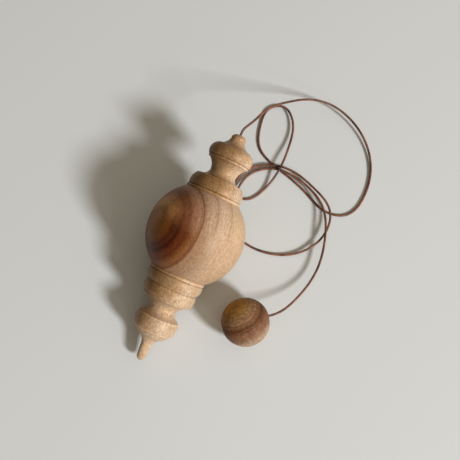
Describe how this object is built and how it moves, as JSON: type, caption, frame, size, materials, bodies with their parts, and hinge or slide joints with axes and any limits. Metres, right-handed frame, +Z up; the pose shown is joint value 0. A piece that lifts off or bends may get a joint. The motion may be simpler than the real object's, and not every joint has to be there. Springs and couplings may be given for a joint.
{
  "type": "turned wooden spindle on a cord",
  "caption": "Turned wooden ball spindle with a finial above and below, hung on a thin round leather cord that ends in a drilled wooden ball.",
  "frame": {"origin": "on the ground, under the middle of the spindle's box as it rests on its ball and its lower finial, the cord and its end bead not counted", "axes": "+Z up; +X along the ground from the spindle's tip towards the cord's exit, the spindle's long axis rising to +X in the XZ plane"},
  "size_m": [0.2098, 0.1143, 0.0602],
  "materials": {
    "honey_wood": "oiled satin, with growth rings and dark streaks",
    "beech": "pale fine-grained wood, waxed satin",
    "brown_wood": "red-brown and golden wood, oiled satin",
    "leather": "round red-brown leather cord, matte with a slight sheen"
  },
  "bodies": {
    "cord": {"cord": "leather", "cord_knot_top": "leather", "cord_knot_bead": "leather"},
    "spindle": {"ball": "honey_wood", "upper_finial": "beech", "lower_finial": "beech"},
    "bead": {"end_bead": "brown_wood"}
  },
  "joints": [
    {"name": "spindle_swivel", "type": "hinge", "parent": "cord", "child": "spindle", "pos_m": [0.07091, 0, 0.04921], "axis": [0.9574, 0, 0.2889], "continuous": true},
    {"name": "bead_swivel", "type": "hinge", "parent": "cord", "child": "bead", "pos_m": [-0.0249, -0.0489, 0.01475], "axis": [0.6517, -0.7577, -0.0349], "continuous": true}
  ]
}
